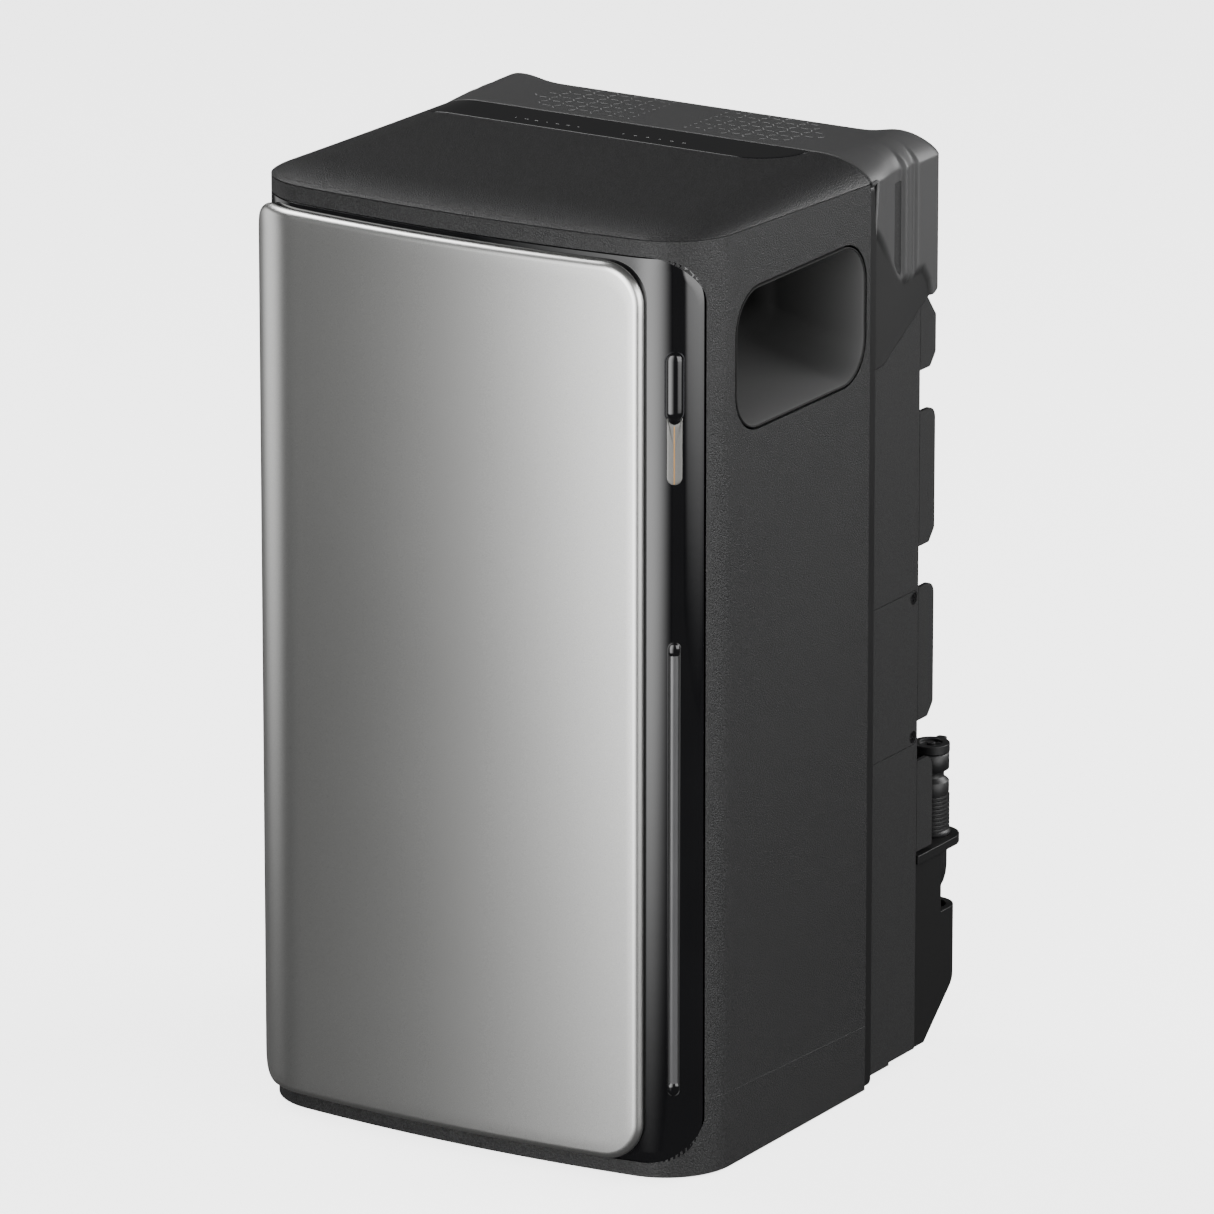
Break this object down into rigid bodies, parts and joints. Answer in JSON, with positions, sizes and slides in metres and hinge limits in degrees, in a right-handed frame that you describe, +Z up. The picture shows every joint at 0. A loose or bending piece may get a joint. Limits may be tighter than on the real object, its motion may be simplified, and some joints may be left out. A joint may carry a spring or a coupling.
{
  "type": "plug-in home battery",
  "caption": "Upright plug-in home battery with a proud metal front panel, side hand holds, finned rear housing, lift-off rain hood and a parked plug.",
  "frame": {"origin": "centre of the base, on the rest face under the middle foot", "axes": "+Z up, -Y out of the front panel, +X to the right-hand side with the button, light bar and parked plug"},
  "size_m": [0.2817, 0.316, 0.528],
  "materials": {
    "casing_black": "fine spark-eroded grain, matte black",
    "fascia_black": "high-gloss black",
    "panel_silver": "satin silver-grey lacquered metal with a fine grain",
    "carrier_black": "plain matte black moulding",
    "hood_grey": "smooth dark grey, semi-matte",
    "cast_black": "die-cast, black textured powder coat",
    "cover_black": "smooth matte black",
    "seal_rubber": "soft black rubber",
    "screw_steel": "black oxide",
    "badge_silver": "satin anodised",
    "bezel_metal": "polished edge",
    "lens_smoke": "smoked translucent light guide",
    "board_green": "solder-masked circuit board",
    "cell_blue": "aluminium can in a blue film",
    "plate_metal": "mill-finish aluminium",
    "strap_steel": "zinc-plated steel strap",
    "conductor": "tinned copper, stood in for by brass",
    "capacitor_can": "sleeved can",
    "module_black": "moulded power module",
    "pad_grey": "soft thermal pad",
    "connector_black": "moulded black nylon"
  },
  "bodies": {
    "housing": {"main_casing": "casing_black", "base_casing": "casing_black", "top_cover": "casing_black", "status_strip": "fascia_black", "trim_frame": "cover_black", "housing_gasket": "seal_rubber", "front_fascia": "fascia_black", "panel_carrier": "carrier_black", "front_panel": "panel_silver", "left_handle_cup": "cover_black", "right_handle_cup": "cover_black", "rear_housing": "cast_black", "heat_sink": "cast_black", "fin_packs": "cast_black", "left_service_cover": "cast_black", "right_service_cover": "cast_black", "cover_screws": "screw_steel", "housing_screws": "screw_steel", "base_screws": "screw_steel", "rubber_feet": "seal_rubber", "light_bar_frame": "fascia_black", "light_bar_lens": "lens_smoke", "led_strip": "board_green", "badge_plate": "badge_silver", "button_bezel": "bezel_metal", "button_board": "board_green", "cell_tray": "carrier_black", "battery_cells": "cell_blue", "cell_spacers": "carrier_black", "cell_end_plates": "plate_metal", "cell_straps": "strap_steel", "busbars": "conductor", "bms_board": "board_green", "power_links": "conductor", "link_grommets": "seal_rubber", "partition_plate": "plate_metal", "inverter_board": "board_green", "power_modules": "module_black", "thermal_pads": "pad_grey", "bulk_capacitors": "capacitor_can", "power_inductors": "conductor", "solar_input_board": "board_green", "control_board": "board_green", "antenna_board": "board_green", "status_board": "board_green", "socket_panel": "cover_black", "solar_connectors": "connector_black", "solar_caps": "seal_rubber", "grid_inlet": "connector_black", "grid_inlet_cap": "connector_black", "outlet_frame": "connector_black", "outlet_socket": "connector_black", "outlet_lid_pin": "screw_steel", "plug_bracket": "cover_black", "hood_bumpers": "seal_rubber"},
    "button": {"power_button": "fascia_black"},
    "hood": {"rain_hood": "hood_grey"},
    "plug": {"plug_body": "connector_black"},
    "cap": {"plug_cap": "connector_black"},
    "lid": {"outlet_lid": "connector_black"}
  },
  "joints": [
    {"name": "button_press", "type": "slide", "parent": "housing", "child": "button", "axis": [-0.6018, 0.7986, 0], "range_m": [0, 0.0012], "stiffness_N_per_m": 1500},
    {"name": "hood_lift", "type": "slide", "parent": "housing", "child": "hood", "axis": [0, 0, 1], "range_m": [0, 0.12]},
    {"name": "plug_lift", "type": "slide", "parent": "housing", "child": "plug", "axis": [0, 0, 1], "range_m": [0, 0.06]},
    {"name": "plug_cap_turn", "type": "hinge", "parent": "plug", "child": "cap", "pos_m": [0.121, 0.163, 0.166], "axis": [0, 0, 1], "range_deg": [0, 90]},
    {"name": "outlet_lid_swing", "type": "hinge", "parent": "housing", "child": "lid", "pos_m": [-0.02, 0.1344, 0.082], "axis": [1, 0, 0], "range_deg": [0, 100], "stiffness_Nm_per_rad": 0.02}
  ]
}
